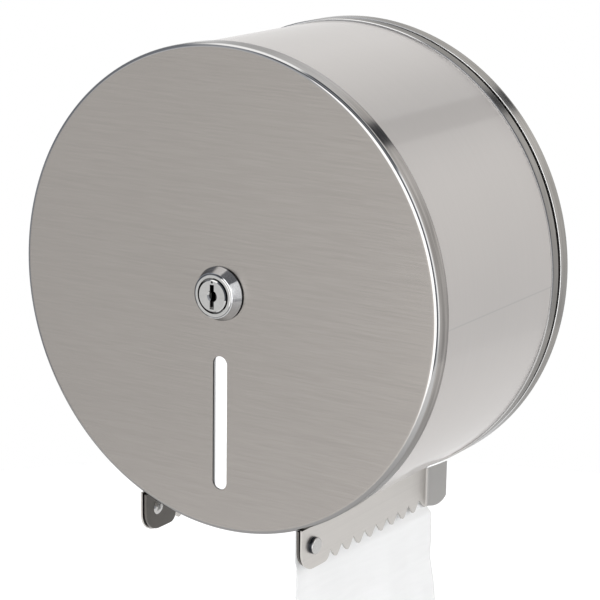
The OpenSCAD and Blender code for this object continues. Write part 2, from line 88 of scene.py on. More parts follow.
# %% A value
class Value:
    """One output of a node; arithmetic on it adds Math nodes."""

    def __init__(self, finish, socket):
        self.finish, self.socket = finish, socket

    def math(self, operation, *others):
        return self.finish.add("Math", dict(enumerate([self, *others])), operation=operation)

    def reflected(self, operation, other):
        return self.finish.add("Math", {0: other, 1: self}, operation=operation)

    def __add__(self, other):
        return self.math("ADD", other)

    def __sub__(self, other):
        return self.math("SUBTRACT", other)

    def __mul__(self, other):
        return self.math("MULTIPLY", other)

    def __truediv__(self, other):
        return self.math("DIVIDE", other)

    def __radd__(self, other):
        return self.reflected("ADD", other)

    def __rsub__(self, other):
        return self.reflected("SUBTRACT", other)

    def __rmul__(self, other):
        return self.reflected("MULTIPLY", other)

    def __rtruediv__(self, other):
        return self.reflected("DIVIDE", other)


print("a Value adds, subtracts, multiplies and divides")

# %% [markdown]
# ## Nodes of any kind
# A Finish holds one node tree. Its method `add` makes any node: the settings come first, then
# the stops of a ramp, then what goes into the sockets. The other methods are short names for
# what every finish needs: a soft step, a band, and a blend of two numbers or colours.

# %% Colours
def grey(colour):
    """Four numbers from one grey or from three."""
    return (*colour, 1.0) if isinstance(colour, tuple) else (colour, colour, colour, 1.0)


def tinted(colour):
    """A colour for a socket: a Value stays as it is."""
    return colour if isinstance(colour, Value) else grey(colour)


print("grey 0.5 is", grey(0.5))

# %% A finish
class Finish:
    """A node tree being built, with one method that adds any node."""

    def __init__(self, tree):
        self.tree = tree

    def add(self, kind, links=None, output=0, stops=None, **settings):
        node = self.tree.nodes.new("ShaderNode" + kind)
        for name, value in settings.items():
            setattr(node, name, value)
        if stops:
            while len(node.color_ramp.elements) < len(stops):
                node.color_ramp.elements.new(1.0)
            for element, (position, colour) in zip(node.color_ramp.elements, stops):
                element.position, element.color = position, grey(colour)
        for key, value in (links or {}).items():
            self.link(value, node.inputs[key])
        return Value(self, node.outputs[output]) if node.outputs else node

    def link(self, value, socket):
        if isinstance(value, Value):
            self.tree.links.new(value.socket, socket)
        else:
            socket.default_value = value

    def step(self, value, start, end):
        """0 at the start and before, 1 at the end and past it, and smooth between."""
        sockets = {0: value, 1: start, 2: end}
        return self.add("MapRange", sockets, interpolation_type="SMOOTHSTEP")

    def band(self, value, middle, core, edge):
        """1 within core of the middle, 0 beyond edge from it, and smooth between."""
        return 1 - self.step((value - middle).math("ABSOLUTE"), core, edge)

    def between(self, mask, first, second):
        """The first number where the mask is 0, the second where it is 1."""
        return first * (1 - mask) + second * mask

    def blend(self, mask, first, second):
        """The first colour where the mask is 0, the second where it is 1."""
        sockets = {0: mask, 6: tinted(first), 7: tinted(second)}
        return self.add("Mix", sockets, output=2, data_type="RGBA")

    def around(self, tone, pattern, spread):
        """A tone that a pattern between 0 and 1 makes darker or lighter by the spread."""
        return self.blend(pattern, tuple(v * (1 - spread) for v in tone),
                          tuple(v * (1 + spread) for v in tone))


print("a Finish adds nodes, steps, bands and blends")

# %% [markdown]
# ## Where a pattern lies
# A brushed pattern has to follow the sheet that was brushed. Every part keeps its place in its
# mesh, so Object coordinates are metres from the middle of the wall plate: x to the right,
# -y out of the wall and z up. The angle round that axis and the depth give patterns on the
# drum and on the rims. Masks are easier to read in millimetres, so two methods take those.

# %% A surface to start from
class Surface(Finish):
    """A finish with its Principled shader, object coordinates and their parts."""

    def __init__(self, name, **constants):
        self.material = bpy.data.materials.new(name)
        self.material.use_nodes = True
        super().__init__(self.material.node_tree)
        self.shader = self.tree.nodes["Principled BSDF"]
        for socket, value in {"Metallic": 1.0, **constants}.items():
            self.shader.inputs[socket].default_value = value
        self.place = self.add("TexCoord", output="Object")
        self.x, self.y, self.z = (
            self.add("SeparateXYZ", {0: self.place}, output=k) for k in range(3))

    def noise(self, stretch, detail=3.0, roughness=0.5):
        """Noise between about 0.3 and 0.7, with stretch cells to the metre on each axis."""
        scaled = self.add("VectorMath", {0: self.place, 1: stretch}, operation="MULTIPLY")
        sockets = {"Vector": scaled, "Scale": 1.0, "Detail": detail, "Roughness": roughness}
        return self.add("TexNoise", sockets)

    def grain(self, rows):
        """Noise over the surface from rows of stretch, detail and share."""
        return sum(self.noise(stretch, detail) * share for stretch, detail, share in rows)

    def rise(self, value, start, end):
        """A step between two places in mm."""
        return self.step(value, start * MM, end * MM)

    def stripe(self, value, middle, core, edge):
        """A band with its middle and its two half widths in mm."""
        return self.band(value, middle * MM, core * MM, edge * MM)

    def behind(self, depth):
        """How far a point lies behind a depth, towards the wall."""
        return self.y + depth * MM

    def sideways(self):
        """How far a point lies from the middle, to either side."""
        return self.x.math("ABSOLUTE")

    def from_axis(self):
        """The vector from the housing's axis, without the depth."""
        return self.add("CombineXYZ", {0: self.x, 2: self.z})

    def radius(self):
        return self.add("VectorMath", {0: self.from_axis()}, output="Value", operation="LENGTH")

    def turn(self):
        return self.z.math("ARCTAN2", self.x)

    def lined(self, turns, depth):
        """Noise drawn out along a rim: slow round the axis, fast across the depth."""
        unit = self.add("VectorMath", {0: self.from_axis()}, operation="NORMALIZE")
        slow = self.add("VectorMath", {0: unit, "Scale": turns}, operation="SCALE")
        across = self.add("CombineXYZ", {1: self.y * depth})
        place = self.add("VectorMath", {0: slow, 1: across}, operation="ADD")
        return self.add("TexNoise", {"Vector": place, "Scale": 1.0, "Detail": 3.0})

    def lines(self, rows):
        """Lines round the axis from rows of turns, depth and share."""
        return sum(self.lined(turns, depth) * share for turns, depth, share in rows)

    def finish(self, colour, roughness, height=None, bump=0.0):
        """Links what varies to the shader, and returns the material; the bump is in mm."""
        self.link(colour, self.shader.inputs["Base Color"])
        self.link(roughness, self.shader.inputs["Roughness"])
        if height:
            relief = self.add("Bump", {"Height": height, "Strength": 1.0, "Distance": bump * MM})
            self.link(relief, self.shader.inputs["Normal"])
        return self.material


print("a Surface knows its place, its radius and its turn")

# %% [markdown]
# ## Putting a finish on a CAD part
# A CAD part comes with material slots of its own, and a finish goes into each of them. A rough
# place on real metal is never evenly rough, so a finish gives a least roughness and what its
# pattern adds to it.

# %% Dressing CAD parts
def dress(material, *nodes):
    """Gives CAD nodes a material, in every slot they have."""
    for name in nodes:
        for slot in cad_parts[name].material_slots:
            slot.material = material
    print(f"{material.name}: {', '.join(nodes)}")


def varied(dullness, pattern):
    """A roughness: its least value, and what the pattern adds to it."""
    least, added = dullness
    return least + pattern * added


print(len(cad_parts), "CAD parts to dress or to stand in for")

# %% [markdown]
# ## Closing a mesh
# A spun or solidified bmesh can hold doubled points and faces that look inwards. Both are put
# right before it becomes an object. All faces are shaded smooth, and an edge stays sharp where
# its faces meet at more than a given angle.

# %% From a bmesh to an object
DOUBLED, SHARP_FROM = 0.001 * MM, 35.0


def finish_mesh(bm, name, sharp_from=SHARP_FROM):
    """Closes a bmesh into an object with outward normals and shaded edges."""
    bmesh.ops.remove_doubles(bm, verts=bm.verts, dist=DOUBLED)
    bmesh.ops.recalc_face_normals(bm, faces=bm.faces)
    for face in bm.faces:
        face.smooth = True
    for edge in bm.edges:
        if len(edge.link_faces) == 2:
            edge.smooth = edge.calc_face_angle(0.0) < math.radians(sharp_from)
    mesh = bpy.data.meshes.new(name)
    bm.to_mesh(mesh)
    bm.free()
    piece = bpy.data.objects.new(name, mesh)
    bpy.context.scene.collection.objects.link(piece)
    print(f"{name}: {len(mesh.polygons)} faces")
    return piece


print("edges stay sharp from", SHARP_FROM, "degrees")

# %% [markdown]
# ## Two drawn pans
# Front and back of the housing are pans, pressed from a flat disc: a flat, a tight rounded
# corner and a straight rim. The corner carries the sharpest highlights of the whole object, so
# its mesh must be perfectly even. The corner's profile is drawn once and spun round the axis,
# the flat is filled in between that ring and the edges of its holes, and Solidify gives the
# sheet its thickness. Narrow rings next to the corner keep the shading of the flat and of the
# rim true: without them a smooth highlight would creep far into both. A small bevel takes the
# sharpness off the sheared end of the rim.

# %% A pan's profile
CORNER_R, STEEL_T = 2.0, 1.0
FLAT_RING, RIM_RING, EDGE_ROUND = 0.8, 0.5, 0.3
PAN_STEPS, CORNER_STEPS = 256, 8


def pan_profile(rim):
    """Points (radius, way behind the flat) from the flat round the corner to the rim's end."""
    turns = [math.pi / 2 * k / CORNER_STEPS for k in range(CORNER_STEPS + 1)]
    corner = [(PAN_R - CORNER_R * (1 - math.sin(a)), CORNER_R * (1 - math.cos(a))) for a in turns]
    return [(PAN_R - CORNER_R - FLAT_RING, 0.0), *corner, (PAN_R, CORNER_R + RIM_RING),
            (PAN_R, rim - EDGE_ROUND - RIM_RING), (PAN_R, rim)]


print("a rim of 9 mm has a profile of", len(pan_profile(9.0)), "points")

# %% The edge of a hole
HOLE_STEPS = 40


def hole_edge(bm, depth, x, z, radius, reach=0.0):
    """The edge of a hole; with a reach its halves stand apart, for a slot."""
    place = (Matrix.Translation((x * MM, -depth * MM, z * MM))
             @ Matrix.Rotation(math.pi / 2, 4, "X") @ Matrix.Rotation(math.pi / HOLE_STEPS, 4, "Z"))
    ring = bmesh.ops.create_circle(bm, segments=HOLE_STEPS, radius=radius * MM, matrix=place)
    for vert in ring["verts"]:
        vert.co.z += math.copysign(reach * MM, vert.co.z - z * MM)


print("a hole's edge has", HOLE_STEPS, "points")

# %% Drawing a pan
ON_FLAT, ON_END, FAR_OUT = 0.1 * MM, 0.01 * MM, (PAN_R - 0.1) * MM


def drawn_pan(name, flat, way, rim, holes):
    """A pan with its flat at a depth and its rim going out (way 1) or back (way -1)."""
    bm = bmesh.new()
    for hole in holes:
        hole_edge(bm, flat, *hole)
    verts = [bm.verts.new((r * MM, -(flat + way * d) * MM, 0.0)) for r, d in pan_profile(rim)]
    edges = [bm.edges.new(pair) for pair in zip(verts, verts[1:])]
    bmesh.ops.spin(bm, geom=verts + edges, cent=(0, 0, 0), axis=(0, 1, 0), angle=math.tau,
                   steps=PAN_STEPS, use_merge=True)
    open_edges = [edge for edge in bm.edges if len(edge.link_faces) < 2
                  and all(abs(vert.co.y + flat * MM) < ON_FLAT for vert in edge.verts)]
    bmesh.ops.triangle_fill(bm, edges=open_edges, use_beauty=True)
    bmesh.ops.recalc_face_normals(bm, faces=bm.faces)
    bmesh.ops.solidify(bm, geom=bm.faces[:], thickness=STEEL_T * MM)
    rim_end = -(flat + way * rim) * MM
    sheared = [edge for edge in bm.edges
               if all(abs(vert.co.y - rim_end) < ON_END and vert.co.length > FAR_OUT
                      for vert in edge.verts)]
    bmesh.ops.bevel(bm, geom=sheared, offset=EDGE_ROUND * MM, affect="EDGES", segments=2,
                    profile=0.5, material=-1)
    return finish_mesh(bm, name)


print("a pan is spun in", PAN_STEPS, "steps")

# %% The front pan
FRONT_RIM = BODY_DEPTH - RIM_END
LOCK_HOLE = (0.0, 0.0, 9.45)
SLOT_R, SLOT_REACH = 4.0, 28.5
SLOT_MIDDLE = sum(span("level_window", "z")) / 2

front_pan = drawn_pan("brushed_pan", BODY_DEPTH, -1, FRONT_RIM,
                      [LOCK_HOLE, (0.0, SLOT_MIDDLE, SLOT_R, SLOT_REACH)])
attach(front_pan, "cover")
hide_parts("front_panel")

# %% The back pan
SCREW_X, SCREW_Z, SCREW_HOLE = 50.0, 45.0, 2.75
SPINDLE_RING, SPINDLE_HOLE, SPINDLE_ANGLES = 27.0, 2.05, (45, 135, 225, 315)
TAB_RING, TAB_HOLE, TAB_ANGLES, TAB_TURN = 102.85, 1.65, (90, 210, 330), 2.03


def on_ring(radius, degrees, hole):
    """A hole at an angle on a ring round the axis."""
    return (radius * math.cos(math.radians(degrees)), radius * math.sin(math.radians(degrees)),
            hole)


screw_holes = [(x, z, SCREW_HOLE) for x in (-SCREW_X, SCREW_X) for z in (-SCREW_Z, SCREW_Z)]
spindle_holes = [on_ring(SPINDLE_RING, angle, SPINDLE_HOLE) for angle in SPINDLE_ANGLES]
tab_holes = [on_ring(TAB_RING, angle + side * TAB_TURN, TAB_HOLE)
             for angle in TAB_ANGLES for side in (-1, 1)]
back_pan = drawn_pan("wall_pan", 0.0, 1, BACK_RIM, screw_holes + spindle_holes + tab_holes)
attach(back_pan, "base")
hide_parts("back_plate")

# %% [markdown]
# ## Brushed sheet
# The face is stainless sheet, brushed sideways with an abrasive belt. The grain is thousands
# of scratches much longer than wide, so the noise is stretched: a few cells to the metre along
# x and thousands along z. Broader bands and a slow cloudiness keep it from looking printed.
# Each row of the grain is a stretch, how much fine detail it has, and its share.

# %% The grain from the belt
BELT_SCRATCHES = (60.0, 60.0, 2100.0)
BELT_GRAIN = [(BELT_SCRATCHES, 3.0, 0.62), ((14.0, 20.0, 950.0), 2.0, 0.16),
              ((9.0, 9.0, 12.0), 2.0, 0.22)]
print("scratches to the metre along x, y and z:", BELT_SCRATCHES)

# %% [markdown]
# ## The front pan, from face to rim
# When the pan is drawn, the tool polishes its rim, so the rim has lines that run round it and
# is a shade darker. Painted shade darkens the rim low down and painted light brightens it high
# up. The corner between face and rim is burnished bright, with painted shade on it low down.
# The cut edges of the lock hole and of the slot look into the dark housing, and painted shade
# makes them nearly black. One material holds all four, because it is one sheet, and masks from
# the place say which is which. Any metal turns white where it is seen at a flat angle; a
# Specular Tint below 1 holds that back.

# %% Where face, corner, rim and cut edges lie
RIM_BEHIND, CORNER_OUT = (1.5, 2.1), (112.95, 113.3)
CUT_BEHIND, CUT_WITHIN = (0.1, 0.3), (110, 112)
SHADED_LOW_SIDE, LIT_HIGH_SIDE = (-20, -75), (88, 106)
RIM_LINES = [(1.5, 700.0, 0.65), (5.0, 240.0, 0.35)]
print("mm behind the face where the rim begins:", RIM_BEHIND)

# %% Brushed face, burnished corner and rim
FACE_TONE, FACE_SPREAD = (0.352, 0.330, 0.309), 0.13
RIM_TONE, RIM_SPREAD = (0.335, 0.317, 0.301), 0.90
# Painted shade on the low side of the rim, painted light on its high side.
LOW_SHARE, LOW_PAINTED_SHADE = 0.30, 0.18
HIGH_SHARE, HIGH_PAINTED_LIGHT = 0.40, 0.56
# The corner's darker tone low down is painted shade.
CORNER_TONE, CORNER_PAINTED_SHADE = (0.44, 0.435, 0.43), (0.27, 0.265, 0.26)
# The cut edges' near-black tone is painted shade.
CUT_PAINTED_SHADE = (0.10, 0.095, 0.09)
FACE_DULL, RIM_DULL, CORNER_DULL = (0.19, 0.08), (0.08, 0.10), 0.10
RIM_SHEEN, BRUSHED_BUMP = grey(0.55), 0.005


def brushed_face():
    metal = Surface("brushed_face", **{"Specular Tint": RIM_SHEEN})
    grain, lines = metal.grain(BELT_GRAIN), metal.lines(RIM_LINES)
    behind_face, out = metal.behind(BODY_DEPTH), metal.radius()
    rim = metal.rise(behind_face, *RIM_BEHIND)
    corner = metal.rise(out, *CORNER_OUT) * (1 - rim)
    cut = metal.rise(behind_face, *CUT_BEHIND) * (1 - metal.rise(out, *CUT_WITHIN))
    low, high = metal.rise(metal.z, *SHADED_LOW_SIDE), metal.rise(metal.z, *LIT_HIGH_SIDE)

    # Painted shade darkens the rim low down and painted light brightens it high up.
    side = metal.blend(low * LOW_SHARE, metal.around(RIM_TONE, lines, RIM_SPREAD), LOW_PAINTED_SHADE)
    side = metal.blend(high * HIGH_SHARE, side, HIGH_PAINTED_LIGHT)
    colour = metal.blend(rim, metal.around(FACE_TONE, grain, FACE_SPREAD), side)
    # Painted shade darkens the corner low down.
    colour = metal.blend(corner, colour, metal.blend(low, CORNER_TONE, CORNER_PAINTED_SHADE))
    # Painted shade makes the cut edges nearly black.
    colour = metal.blend(cut, colour, CUT_PAINTED_SHADE)

    dullness = metal.between(rim, varied(FACE_DULL, grain), varied(RIM_DULL, lines))
    dullness = metal.between(corner, dullness, CORNER_DULL)
    height = metal.between(rim, grain, lines) * (1 - corner)
    return metal.finish(colour, dullness, height, BRUSHED_BUMP)


front_pan.data.materials.append(brushed_face())
print("brushed_face: brushed_pan")

# %% [markdown]
# ## The satin drum
# The drum is thin sheet with a satin finish: lighter than the brushed face, with only faint
# lines and a slow cloudiness. It is rolled and butt welded. At the side, along the weld, a dark
# hairline is a painted reflection, and the weld's slight dip is in the bump. Satin steel gives
# two reflections at once, a wide soft one from the matt ground and a weak sharp one from the
# crests that are still smooth. One roughness can't give both, so a thin coat adds the sharp one.

# %% Satin drum
DRUM_TONE, DRUM_SPREAD = (0.488, 0.464, 0.446), 0.07
DRUM_DULL, DRUM_BUMP = (0.44, 0.08), 0.003
DRUM_LINES, DRUM_CLOUDS, LINE_SHARE = (3.0, 900.0), (16.0, 7.0, 16.0), 0.35
SEAM_TURN, SEAM_CORE, SEAM_EDGE = math.radians(-1.0), 0.0012, 0.0042
# The seam's dark line in the colour is a painted reflection.
SEAM_SHARE, SEAM_REFLECTION_TONE, SEAM_SUNK = 0.30, 0.30, 0.4
SMOOTH_CRESTS = {"Coat Weight": 0.4, "Coat Roughness": 0.05}


def satin_drum():
    metal = Surface("satin_drum", **SMOOTH_CRESTS)
    lines, clouds = metal.lined(*DRUM_LINES), metal.noise(DRUM_CLOUDS, detail=2.0)
    seam = metal.band(metal.turn(), SEAM_TURN, SEAM_CORE, SEAM_EDGE)
    colour = metal.around(DRUM_TONE, metal.between(LINE_SHARE, clouds, lines), DRUM_SPREAD)
    # A painted reflection: a dark hairline along the weld.
    colour = metal.blend(seam * SEAM_SHARE, colour, SEAM_REFLECTION_TONE)
    return metal.finish(colour, varied(DRUM_DULL, clouds), lines - seam * SEAM_SUNK, DRUM_BUMP)


dress(satin_drum(), "drum_band")

# %% [markdown]
# ## The hoop and the back pan
# The hoop round the drum's rear edge and the rim of the back pan are seen side by side, with
# the dark parting gap between them. Both have lines that run round, but each has its own tone,
# and the place of the gap says which one a point is on. The hoop's darker tone is a painted
# reflection, and painted shade darkens its top. Painted highlights lie as bright bands on their
# sheared edges. The flat of the back pan, against the wall, keeps the straight grain of the
# sheet: lines that run round would meet there in spokes.

# %% Hoop and back pan
HOOP_TONE, HOOP_SPREAD = (0.300, 0.288, 0.272), 0.60
PAN_TONE, PAN_SPREAD = (0.365, 0.350, 0.330), 0.50
# Painted shade darkens the top of the hoop.
HOOP_TOP, HOOP_TOP_SHARE, HOOP_TOP_PAINTED_SHADE = (60, 95), 0.15, 0.12
HOOP_LINES = [(2.0, 800.0, 0.6), (6.0, 300.0, 0.4)]
PARTING, FLAT_WITHIN, FLAT_DEPTH = (-10.0, -9.5), (111.5, 112.8), (-4, -3)
# The bright bands at these sheared edges are painted highlights.
HIGHLIGHT_EDGES = [(depths("rear_hoop")[1], 0.08, 0.30), (BACK_RIM, 0.12, 0.30)]
EDGE_HIGHLIGHT_TONE = 0.62
HOOP_DULL, FLAT_DULLER = (0.11, 0.12), 0.12


def rolled_rims():
    metal = Surface("brushed_rim", **{"Specular Tint": RIM_SHEEN})
    lines, grain = metal.lines(HOOP_LINES), metal.noise(BELT_SCRATCHES)
    flat = (1 - metal.rise(metal.radius(), *FLAT_WITHIN)) * metal.rise(metal.y, *FLAT_DEPTH)
    top = metal.rise(metal.z, *HOOP_TOP)
    sheared = sum(metal.stripe(metal.y, -depth, core, edge) for depth, core, edge in HIGHLIGHT_EDGES)

    # The hoop: a darker tone as a painted reflection, with painted shade at its top.
    hoop = metal.blend(top * HOOP_TOP_SHARE, metal.around(HOOP_TONE, lines, HOOP_SPREAD),
                       HOOP_TOP_PAINTED_SHADE)
    pan = metal.blend(flat, metal.around(PAN_TONE, lines, PAN_SPREAD),
                      metal.around(PAN_TONE, grain, FACE_SPREAD))
    colour = metal.blend(metal.rise(metal.y, *PARTING), hoop, pan)
    # Painted highlights on the sheared edges.
    colour = metal.blend(sheared, colour, EDGE_HIGHLIGHT_TONE)
    height = metal.between(flat, lines, grain)
    dullness = varied(HOOP_DULL, height) + flat * FLAT_DULLER
    return metal.finish(colour, dullness, height, BRUSHED_BUMP)


rim_steel = rolled_rims()
back_pan.data.materials.append(rim_steel)
dress(rim_steel, "rear_hoop")

# %% [markdown]
# ## Blades and brackets
# The tear blades are the same light stainless sheet as the drum, with a grain along the sheet.
# At the wall end each blade is bent outwards; painted shade darkens that tail, and the press has
# left it duller. The brackets behind the blades sit in shade, and their very dark tone is painted
# shade.

# %% Pressed sheet
BLADE_X = span("right_tear_blade", "x")[0] + STEEL_T
BLADE_TONE, BLADE_DULL = (0.530, 0.508, 0.482), (0.26, 0.14)
# The brackets' very dark tone is painted shade.
BRACKET_PAINTED_SHADE, BRACKET_DULL = (0.135, 0.127, 0.117), (0.34, 0.14)
PRESSED_GRAIN = [((900.0, 9.0, 900.0), 3.0, 0.6), ((30.0, 30.0, 30.0), 3.0, 0.4)]
PRESSED_SPREAD, PRESSED_BUMP = 0.12, 0.003
TAIL_PAST = (BLADE_X + 0.03, BLADE_X + 0.5)
# The tail's darker tone is painted shade.
TAIL_SHARE, TAIL_PAINTED_SHADE, TAIL_DULLER = 0.55, 0.26, 0.2


def pressed_sheet(name, tone, dullness):
    """Sheet with a grain along y, and painted shade where it is bent out past the blade's face."""
    metal = Surface(name)
    grain = metal.grain(PRESSED_GRAIN)
    tail = metal.rise(metal.sideways(), *TAIL_PAST)
    colour = metal.around(tone, grain, PRESSED_SPREAD)
    # Painted shade on the bent-out tail.
    colour = metal.blend(tail * TAIL_SHARE, colour, TAIL_PAINTED_SHADE)
    dull = varied(dullness, grain) + tail * TAIL_DULLER
    return metal.finish(colour, dull, grain, PRESSED_BUMP)


dress(pressed_sheet("blade_sheet", BLADE_TONE, BLADE_DULL), "right_tear_blade",
      "left_tear_blade", "spindle_flange", "spindle_tube", "spindle_end_cap")
# The brackets get painted shade as their tone.
dress(pressed_sheet("bracket_sheet", BRACKET_PAINTED_SHADE, BRACKET_DULL), "right_blade_bracket",
      "left_blade_bracket")

# %% [markdown]
# ## Rivets
# Rivet heads are turned and tumbled: smooth, with very fine marks. Under the rim of a blade
# rivet's head, where it meets the blade, shade leaves a dark line, so a band at that distance
# from the middle is nearly black.

# %% Tumbled rivets
RIVET_TONE, RIVET_UNDER = (0.470, 0.462, 0.450), (0.045, 0.05, 0.06)
RIVET_MARKS, RIVET_SPREAD = (1400.0, 1400.0, 1400.0), 0.12
RIVET_DULL, RIVET_BUMP = (0.12, 0.14), 0.004
UNDER_HEAD = (BLADE_X + 0.6, 0.8, 1.2)


def tumbled_rivet():
    metal = Surface("tumbled_rivet")
    marks = metal.noise(RIVET_MARKS)
    under = metal.stripe(metal.sideways(), *UNDER_HEAD)
    colour = metal.blend(under, metal.around(RIVET_TONE, marks, RIVET_SPREAD), RIVET_UNDER)
    return metal.finish(colour, varied(RIVET_DULL, marks), marks, RIVET_BUMP)


dress(tumbled_rivet(), "blade_rivets", "blade_spacers", "spindle_rivets", "strike_rivets",
      "guide_tab_rivets")

# %% [markdown]
# ## Zinc fittings
# What is hidden inside is zinc plated: a cooler and duller grey with a faint spangle, crystals
# a few millimetres across. A Voronoi texture gives each crystal its own tint.

# %% Zinc plate
ZINC_TONE, ZINC_SPREAD = (0.430, 0.440, 0.450), 0.16
ZINC_DULL, ZINC_BUMP = (0.30, 0.16), 0.004
CRYSTALS, ZINC_CLOUDS, CLOUD_SHARE = 160.0, (60.0, 60.0, 60.0), 0.5


def zinc_plate():
    metal = Surface("zinc_plate")
    crystals = metal.add("TexVoronoi", {"Vector": metal.place, "Scale": CRYSTALS},
                         output="Color")
    tint = metal.add("SeparateColor", {0: crystals})
    spangle = metal.between(CLOUD_SHARE, tint, metal.noise(ZINC_CLOUDS))
    return metal.finish(metal.around(ZINC_TONE, spangle, ZINC_SPREAD),
                        varied(ZINC_DULL, spangle), spangle, ZINC_BUMP)


dress(zinc_plate(), "strike_bracket", "guide_tab_top", "guide_tab_left", "guide_tab_right",
      "lock_washer", "lock_nut", "lock_cam", "cam_washer", "cam_screw")

# %% [markdown]
# ## The cam lock
# The lock is a zinc casting with bright chrome plating. Chrome is almost a mirror, so nearly
# all that one sees on it is the room. The plug is turned and then worn by the key, so it is
# darker than the cone of the bezel round it. Painted shade darkens the groove that parts the cone
# from its flat ring, the keyway and the foot of the bezel.

# %% Where the parts of the lock lie
PLUG_FACE = depths("lock_plug")[1]
CONE_OUT, GROOVE = (10.1, 10.5), (10.15, 0.25, 0.45)
FOOT, FOOT_SIDE = (-0.3, 0.5, 0.7), (0, 6)
KEYWAY_BEHIND, KEYWAY_WITHIN = (0.5, 1.1), (5.5, 6)
print("the plug's face stands", round(PLUG_FACE - BODY_DEPTH, 1), "mm before the pan")

# %% Lock chrome
CHROME_TONE, CHROME_SPREAD = (0.50, 0.498, 0.490), 0.14
CONE_TONE = (0.93, 0.94, 0.96)
# Painted shade in the groove, at the bezel's foot and in the keyway.
GROOVE_SHARE, GROOVE_PAINTED_SHADE = 0.75, 0.14
FOOT_TONE, KEYWAY_PAINTED_SHADE = 0.03, 0.035
KEY_MARKS, CAST_WAVES, WAVE_SHARE = (700.0, 700.0, 700.0), (90.0, 90.0, 90.0), 0.5
CHROME_DULL, CHROME_BUMP, LOCK_SHEEN = (0.04, 0.08), 0.03, grey(0.35)


def lock_chrome():
    metal = Surface("lock_chrome", **{"Specular Tint": LOCK_SHEEN})
    marks, waves = metal.noise(KEY_MARKS, detail=4.0), metal.noise(CAST_WAVES, detail=2.0)
    out = metal.radius()
    foot = metal.stripe(metal.behind(BODY_DEPTH), *FOOT) * metal.rise(metal.x, *FOOT_SIDE)
    keyway = metal.rise(metal.behind(PLUG_FACE), *KEYWAY_BEHIND)
    keyway = keyway * (1 - metal.rise(out, *KEYWAY_WITHIN))

    colour = metal.around(CHROME_TONE, metal.between(WAVE_SHARE, marks, waves), CHROME_SPREAD)
    colour = metal.blend(metal.rise(out, *CONE_OUT), colour, CONE_TONE)
    # Painted shade in the groove, at the bezel's foot and in the keyway.
    colour = metal.blend(metal.stripe(out, *GROOVE) * GROOVE_SHARE, colour, GROOVE_PAINTED_SHADE)
    colour = metal.blend(foot, colour, FOOT_TONE)
    colour = metal.blend(keyway, colour, KEYWAY_PAINTED_SHADE)
    return metal.finish(colour, varied(CHROME_DULL, marks), waves, CHROME_BUMP)


dress(lock_chrome(), "lock_barrel", "lock_plug")

# %% [markdown]
# ## The level strip
# Behind the slot sits a strip of opal acrylic. It is white, it scatters light inside itself and
# lets some through from the room side, so it looks brighter than paper in the same place. A
# little emission stands for that light, because a thin strip has no room for real scattering.
# Along its left the strip lies in the shade of the slot's edge, a thin grey line.

# %% Opal strip
OPAL_GLOW, OPAL_DULL = 0.30, (0.24, 0.12)
OPAL_DARK, OPAL_LIGHT, MILK = (0.90, 0.91, 0.92), (0.97, 0.97, 0.97), (160.0, 160.0, 160.0)
SHADE_FROM, SHADE_TONE = (-3.3, -2.7), 0.30


def opal_strip():
    strip = Surface("opal_strip", **{"Metallic": 0.0, "Emission Strength": OPAL_GLOW})
    milk = strip.noise(MILK, detail=2.0)
    shade = 1 - strip.rise(strip.x, *SHADE_FROM)
    colour = strip.blend(shade, strip.blend(milk, OPAL_DARK, OPAL_LIGHT), SHADE_TONE)
    strip.link(colour, strip.shader.inputs["Emission Color"])
    return strip.finish(colour, varied(OPAL_DULL, milk))


dress(opal_strip(), "level_window")

# %% [markdown]
# ## Tissue
# Jumbo tissue is thin, slightly creped paper: matt, nearly white, with ripples across the
# sheet a bit under a millimetre apart. On the roll one sees the rippled outside, and hundreds
# of cut edges at its ends. The same function makes both papers, with ripples that run along
# the roll or along the hanging sheet.

# %% Creped tissue
TISSUE_TONE, TISSUE_SPREAD = (0.86, 0.86, 0.855), 0.045
TISSUE_DULL, TISSUE_BUMP = (0.86, 0.12), 0.09
PAPER_FIBRE, FIBRE_SHARE = (900.0, 900.0, 900.0), 0.3
ROLL_CREPE, SHEET_CREPE = (420.0, 60.0, 420.0), (40.0, 60.0, 420.0)


def tissue(name, crepe):
    """Matt paper, with ripples from the given stretch of the noise."""
    paper = Surface(name, Metallic=0.0)
    ripples = paper.noise(crepe, detail=2.0)
    fibre = paper.noise(PAPER_FIBRE, detail=4.0, roughness=0.7)
    height = paper.between(FIBRE_SHARE, ripples, fibre)
    return paper.finish(paper.around(TISSUE_TONE, height, TISSUE_SPREAD),
                        varied(TISSUE_DULL, fibre), height, TISSUE_BUMP)


print("tissue tone:", TISSUE_TONE)

# %% [markdown]
# ## The cardboard core
# The core is grey-brown board, wound from a strip in a spiral. Turn and depth together give
# the spiral: the fraction of their sum is the same all along one lap of the strip.

# %% Core board
BOARD_TONE, BOARD_SPREAD = (0.36, 0.27, 0.185), 0.30
BOARD_DULL, BOARD_BUMP, BOARD_FIBRE = (0.80, 0.12), 0.15, (500.0, 120.0, 500.0)
STRIP_W, LAP_SEAM, LAP_SHARE, LAP_TONE = 72.0, (0.5, 0.006, 0.016), 0.5, (0.16, 0.11, 0.07)


def core_board():
    board = Surface("core_board", Metallic=0.0)
    fibre = board.noise(BOARD_FIBRE, detail=4.0, roughness=0.7)
    lap = (board.turn() / math.tau + board.y / (STRIP_W * MM)).math("FRACT")
    seam = board.band(lap, *LAP_SEAM)
    colour = board.around(BOARD_TONE, fibre, BOARD_SPREAD)
    colour = board.blend(seam * LAP_SHARE, colour, LAP_TONE)
    return board.finish(colour, varied(BOARD_DULL, fibre), fibre - seam, BOARD_BUMP)


dress(core_board(), "roll_core")

